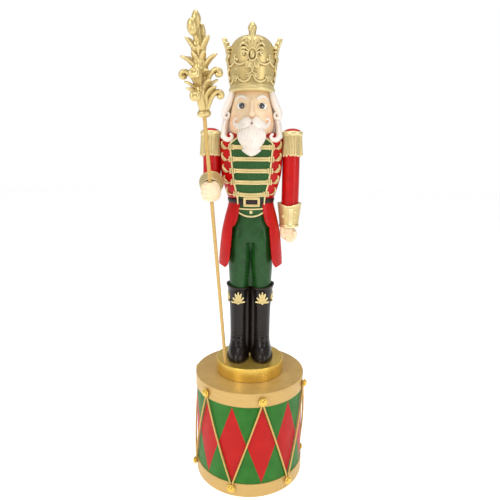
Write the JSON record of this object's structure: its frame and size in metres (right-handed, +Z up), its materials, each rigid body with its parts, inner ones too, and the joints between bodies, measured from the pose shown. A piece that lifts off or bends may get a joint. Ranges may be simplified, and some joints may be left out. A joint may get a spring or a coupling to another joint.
{
  "type": "nutcracker figure",
  "caption": "Standing crowned soldier nutcracker holding a lift-out staff, on a disc that turns on a laced drum.",
  "frame": {"origin": "centre of the drum's bottom face, where it rests", "axes": "+Z up, -Y is the way the figure faces, +X is the figure's own left"},
  "size_m": [0.133, 0.1525, 0.4952],
  "materials": {
    "gold_drum": "satin metallic gold paint over moulded board and resin",
    "drum_paint": "satin green paint with red diamonds",
    "cord": "twisted metallic gold cord",
    "wood_base": "plain sawn board",
    "bush_brass": "turned",
    "steel": "bright drawn",
    "case_plastic": "moulded black",
    "gold_figure": "brushed-on metallic gold paint, darker in the recesses",
    "boot_black": "gloss paint over cast resin",
    "green_cloth": "satin green paint over cast resin",
    "red_cloth": "satin red paint over cast resin",
    "skin": "satin flesh paint with blush",
    "hair_white": "warm white paint with light brown wash",
    "eye": "painted white with dark iris",
    "gold_staff": "metallic gold paint"
  },
  "bodies": {
    "drum": {"base_plate": "wood_base", "bottom_hoop": "gold_drum", "drum_shell": "drum_paint", "top_hoop": "gold_drum", "drum_head": "gold_drum", "top_pegs": "gold_drum", "bottom_pegs": "gold_drum", "drum_cord": "cord", "bearing_bush": "bush_brass", "movement_case": "case_plastic", "movement_screws": "steel"},
    "figure": {"turn_spindle": "steel", "pedestal_disc": "gold_drum", "left_boot": "boot_black", "right_boot": "boot_black", "boot_ornaments": "gold_figure", "trousers": "green_cloth", "coat_body": "red_cloth", "coat_tails": "red_cloth", "waistcoat": "green_cloth", "waistcoat_piping": "gold_figure", "frog_bars": "gold_figure", "frog_tassels": "gold_figure", "belt": "boot_black", "belt_buckle": "gold_figure", "hem_panel": "green_cloth", "hem_trim": "gold_figure", "hem_button": "gold_figure", "left_arm": "red_cloth", "right_arm": "red_cloth", "left_cuff": "gold_figure", "right_cuff": "gold_figure", "cuff_buttons": "gold_figure", "left_hand": "skin", "right_hand": "skin", "shoulder_caps": "red_cloth", "left_epaulette": "gold_figure", "right_epaulette": "gold_figure", "left_fringe": "gold_figure", "right_fringe": "gold_figure", "head": "skin", "nose": "skin", "eyes": "eye", "brows": "hair_white", "moustache": "hair_white", "beard": "hair_white", "hair": "hair_white", "crown_rim": "gold_figure", "crown_shell": "gold_figure", "crown_crests": "gold_figure", "crown_finial": "gold_figure"},
    "staff": {"staff_rod": "gold_staff", "staff_finial": "gold_staff"}
  },
  "joints": [
    {"name": "figure_turn", "type": "hinge", "parent": "drum", "child": "figure", "pos_m": [0, 0, 0.121], "axis": [0, 0, 1], "continuous": true},
    {"name": "staff_lift", "type": "slide", "parent": "figure", "child": "staff", "axis": [-0.0621, -0.1529, 0.9863], "range_m": [0, 0.22]}
  ]
}
